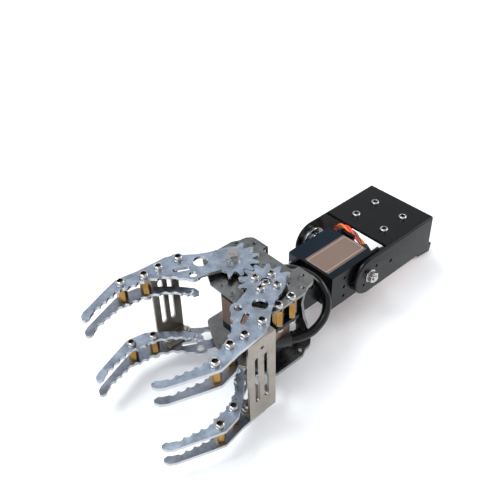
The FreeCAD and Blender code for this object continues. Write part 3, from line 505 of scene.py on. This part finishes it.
for name in ("base_bracket", "servo_bracket", "wrist_spacer", "palm"):
    softened(name, 0.3)
for name in ("palm_standoffs", "jaw_pivot_nuts", "jaw_pivot_bushes", "idler_nut", "idler_bush"):
    softened(name, 0.25)
for name in ("elbow_horn", "gripper_horn"):
    softened(name, 0.3)
for servo in ("elbow", "gripper"):
    for part in ("bottom", "middle", "top"):
        softened(f"{servo}_case_{part}", 0.35, segments=3)
    detailed_screws(f"{servo}_case_screws", hex_drive, thread_pitch=0.4)
    softened(f"{servo}_gland", 0.4, segments=3)
    softened(f"{servo}_plug", 0.4)
for name in ("base_screws", "bracket_screws", "wrist_screws", "palm_standoff_screws"):
    detailed_screws(name, hex_drive)
for name in ("gripper_horn_screws", "elbow_horn_screws"):
    detailed_screws(name, cross_drive)


# ---------------------------------------------------------------- free leads
# The first two points of each route lie on its gland's axis, and the rest are its bends, in mm.
# A gland is its place on the case, the way out along it, and its length.
GLANDS = {
    "gripper": ((117.2, 24.5, -17.3), (-0.87, 0.5, 0.0), 5.4),
    "elbow": ((28.0, 13.0, -4.6), (-0.43, -0.9, 0.05), 4.0),
}
FIRST_RUN = 5.3             # of lead, straight out of its gland
BENDS = {
    "gripper": [
        (99.0, 33.0, -16.0), (87.0, 32.5, -10.0), (80.0, 25.5, -1.5), (79.0, 14.0, 4.0),
        (80.5, -2.0, 1.5), (81.5, -14.0, -5.0), (80.0, -21.0, -20.0), (71.0, -19.0, -36.0),
        (56.0, -13.0, -42.0), (34.0, -11.0, -41.0), (10.0, -8.0, -43.0), (-12.0, -10.0, -43.0),
        (-36.0, -7.0, -46.0)],
    "elbow": [
        (23.5, -2.5, -1.0), (23.5, -11.0, 0.5), (23.5, -18.0, -4.0), (22.5, -22.0, -12.0),
        (23.0, -21.0, -20.0), (28.0, -17.0, -28.0), (38.0, -12.0, -32.0), (50.0, -9.0, -32.0),
        (60.0, -3.0, -32.0), (62.0, 7.0, -32.0), (55.5, 14.5, -32.0), (40.0, 14.0, -32.0),
        (22.0, 10.0, -33.0), (2.0, 10.0, -40.0), (-20.0, 7.0, -46.5), (-42.0, 8.0, -48.5)],
}


def route(servo):
    """A lead's control points, from the end of its gland to its plug, in metres."""
    start, axis, gland_len = GLANDS[servo]
    start = Vector(start)
    axis = Vector(axis).normalized()
    points = [start + axis * gland_len, start + axis * (gland_len + FIRST_RUN)]
    return [p * MM for p in points + [Vector(b) for b in BENDS[servo]]]


def nurbs_curve(name, points, bevel):
    """A smooth curve that starts and ends on its end points; bevel is its radius."""
    curve = bpy.data.curves.new(name, "CURVE")
    curve.dimensions = "3D"
    curve.resolution_u = 10
    spline = curve.splines.new("NURBS")
    spline.points.add(len(points) - 1)
    for target, point in zip(spline.points, points):
        target.co = (*point, 1.0)
    spline.order_u = 3
    spline.use_endpoint_u = True
    curve.bevel_depth = bevel
    curve.bevel_resolution = 5
    curve.use_fill_caps = True
    return bpy.data.objects.new(name, curve)


def line_points(points):
    """The points of the smooth line that a route's NURBS spline draws."""
    plain = nurbs_curve("route_line", points, 0.0)
    bpy.context.scene.collection.objects.link(plain)
    bpy.context.view_layer.update()
    mesh = bpy.data.meshes.new_from_object(plain)
    line = [v.co.copy() for v in mesh.vertices]
    bpy.data.meshes.remove(mesh)
    bpy.data.objects.remove(plain)
    return line


def length_of(line):
    """The length of a line given by its points."""
    return sum((b - a).length for a, b in zip(line, line[1:]))


SLEEVE_R = 0.00275          # the gripper lead's sleeve
WIRE_R = 0.00088            # one of the elbow lead's three wires, with its insulation
WIRE_CIRCLE_R = 0.00102     # where the three wires' centres lie
WIRE_TURNS = 9.0            # that they take round one another, end to end
WIRE_SIDES = 12
WIRES = 3

lead_points = route("gripper")
lead = nurbs_curve("gripper_lead_sleeve", lead_points, SLEEVE_R)
bpy.context.scene.collection.objects.link(lead)
lead.data.materials.append(MATERIALS["sleeve_black"])
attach(lead, "forearm")
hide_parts("gripper_lead")
lead_line = line_points(lead_points)


def wire_strands(line):
    """Three insulated wires laid round one another along a line."""
    bm = bmesh.new()
    total = length_of(line)
    side = Vector((0, 0, 1))
    frames = []
    run = 0.0
    for i, point in enumerate(line):
        tangent = (line[min(i + 1, len(line) - 1)] - line[max(i - 1, 0)]).normalized()
        side = (side - tangent * side.dot(tangent)).normalized()
        if i:
            run += (point - line[i - 1]).length
        frames.append((point, side.copy(), tangent.cross(side), run / total))

    def outward(side_at, other, angle, radius):
        return (side_at * math.cos(angle) + other * math.sin(angle)) * radius

    for wire in range(WIRES):
        loops = []
        for point, side_at, other, part in frames:
            lay = 2 * math.pi * (wire / WIRES + WIRE_TURNS * part)
            centre = point + outward(side_at, other, lay, WIRE_CIRCLE_R)
            loops.append([bm.verts.new(centre + outward(side_at, other, turn_angle(k, WIRE_SIDES),
                                                        WIRE_R)) for k in range(WIRE_SIDES)])
        skin_loops(bm, loops, [wire] * (len(loops) - 1), (wire, wire), smooth=True)
    bmesh.ops.recalc_face_normals(bm, faces=bm.faces)
    mesh = bpy.data.meshes.new("elbow_wires")
    bm.to_mesh(mesh)
    bm.free()
    return mesh


wire_points = route("elbow")
wire_line = line_points(wire_points)
wires = new_piece("elbow_wires", wire_strands(wire_line), "elbow_lead",
                  MATERIALS["wire_orange"], RED_WIRE, BROWN_WIRE)
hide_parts("elbow_lead")


# ---------------------------------------------------------------- blank label on the elbow servo
LABEL_INSET = 0.0016        # from the case's edges to the label's
LABEL_CORNER_R = 0.0012
LABEL_CORNER_STEPS = 6
LABEL_CORNER_STEP = 18      # degrees
# The label's loops from its foot up: how far in each lies, and its height over the case.
LABEL_LOOPS = [(0.0, -0.00005), (0.0, 0.00012), (0.0004, 0.00016), (0.0008, 0.00016)]


def label_materials():
    """The label's own finish and its border's."""
    g = Graph("blank_label")
    speck = g.noise(1800, detail=2.0, rough=0.5)
    g.colour(g.ramp(speck, [(0.3, (0.29, 0.205, 0.165)), (0.7, (0.35, 0.25, 0.20))]))
    g.roughness(g.span(speck, 0.32, 0.42))
    g.bump([(speck, 0.06, 0.00002)])
    g.fixed(Metallic=0.85)
    rim = Graph("label_border")
    fleck = rim.noise(1500)
    rim.colour(rim.ramp(fleck, [(0.3, (0.36, 0.28, 0.235)), (0.7, (0.42, 0.34, 0.29))]))
    rim.roughness(rim.span(fleck, 0.3, 0.4))
    rim.fixed(Metallic=0.4)
    return g.material, rim.material


def blank_label():
    """A thin printed panel with a lighter border and no lettering, on the upper long side."""
    low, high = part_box("elbow_case_middle")
    middle = (low + high) / 2
    half = (high - low) / 2 - Vector((LABEL_INSET, LABEL_INSET, 0))
    corners = []
    for out_x, out_y, start in ((1, 1, 0), (-1, 1, 90), (-1, -1, 180), (1, -1, 270)):
        for k in range(LABEL_CORNER_STEPS):
            a = math.radians(start + LABEL_CORNER_STEP * k)
            corners.append((out_x * (half.x - LABEL_CORNER_R) + LABEL_CORNER_R * math.cos(a),
                            out_y * (half.y - LABEL_CORNER_R) + LABEL_CORNER_R * math.sin(a)))
    bm = bmesh.new()
    loops = []
    for shrink, height in LABEL_LOOPS:
        loops.append([bm.verts.new((middle.x + x * (1 - shrink / half.x),
                                    middle.y + y * (1 - shrink / half.y), high.z + height))
                      for x, y in corners])
    skin_loops(bm, loops, [1] * (len(loops) - 1), (0, 0))
    bmesh.ops.recalc_face_normals(bm, faces=bm.faces)
    mesh = bpy.data.meshes.new("elbow_label")
    bm.to_mesh(mesh)
    bm.free()
    new_piece("elbow_label", mesh, "elbow_case_middle", *label_materials())


blank_label()


# ---------------------------------------------------------------- carried-over nodes
for node, shape in NODES.items():
    shape.data.materials.clear()
    shape.data.materials.append(finish_of(node))


# ---------------------------------------------------------------- studio
FLOOR_HALF = 6.0
FLOOR_GAP = 0.0005          # from the floor up to the arm's lowest point


def studio_floor():
    """A plain pale floor under the arm."""
    g = Graph("studio_floor")
    grain = g.noise(6, detail=3.0, rough=0.5)
    g.colour(g.ramp(grain, [(0.2, (0.93, 0.93, 0.93)), (0.8, (0.96, 0.96, 0.96))]))
    g.roughness(g.span(grain, 0.75, 0.85))
    mesh = bpy.data.meshes.new("floor")
    half = FLOOR_HALF
    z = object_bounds()[0][2] - FLOOR_GAP
    mesh.from_pydata([(-half, -half, z), (half, -half, z), (half, half, z), (-half, half, z)], [],
                     [(0, 1, 2, 3)])
    floor = bpy.data.objects.new("floor", mesh)
    mesh.materials.append(g.material)
    bpy.context.scene.collection.objects.link(floor)
    floor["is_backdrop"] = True


studio_floor()


def soft_light(name, place, size, power, colour):
    """A rectangular light that looks at AIM."""
    data = bpy.data.lights.new(name, "AREA")
    data.shape = "RECTANGLE"
    data.size = size[0]
    data.size_y = size[1]
    data.energy = power
    data.color = colour
    lamp = bpy.data.objects.new(name, data)
    lamp.location = place
    lamp.rotation_euler = (Vector(AIM) - Vector(place)).to_track_quat("-Z", "Y").to_euler()
    bpy.context.scene.collection.objects.link(lamp)


AIM = (0.09, 0.0, -0.01)
soft_light("key", (0.55, -0.25, 1.0), (0.6, 0.5), power=9.0, colour=(0.93, 0.97, 1.0))
soft_light("fill", (0.95, 0.55, 0.55), (0.6, 0.6), power=3.0, colour=(1.0, 0.98, 0.95))
soft_light("rim", (-0.75, 0.35, 0.65), (0.5, 0.4), power=4.0, colour=(1.0, 1.0, 1.0))

world = bpy.data.worlds.new("studio")
world.use_nodes = True
background = next(n for n in world.node_tree.nodes if n.type == "BACKGROUND")
background.inputs["Color"].default_value = (0.92, 0.95, 1.0, 1.0)
background.inputs["Strength"].default_value = 0.75
bpy.context.scene.world = world
bpy.context.scene.view_settings.view_transform = "Standard"

CAMERA_PLACE = (0.322, 0.2305, 0.287)
CAMERA_HEADING = 138.6      # degrees round the vertical, 0 looking along +Y
CAMERA_HEIGHT = 38.9        # degrees that it looks down by
CAMERA_TILT = -1.6          # degrees round its own line of sight
CAMERA_LENS = 50.4          # mm, on a sensor 36 mm wide

camera_data = bpy.data.cameras.new("camera")
camera_data.sensor_width = 36.0
camera_data.lens = CAMERA_LENS
camera = bpy.data.objects.new("camera", camera_data)
camera.matrix_world = (Matrix.Translation(CAMERA_PLACE)
                       @ Matrix.Rotation(math.radians(CAMERA_HEADING), 4, "Z")
                       @ Matrix.Rotation(math.radians(90.0 - CAMERA_HEIGHT), 4, "X")
                       @ Matrix.Rotation(math.radians(CAMERA_TILT), 4, "Z"))
bpy.context.scene.collection.objects.link(camera)
bpy.context.scene.camera = camera
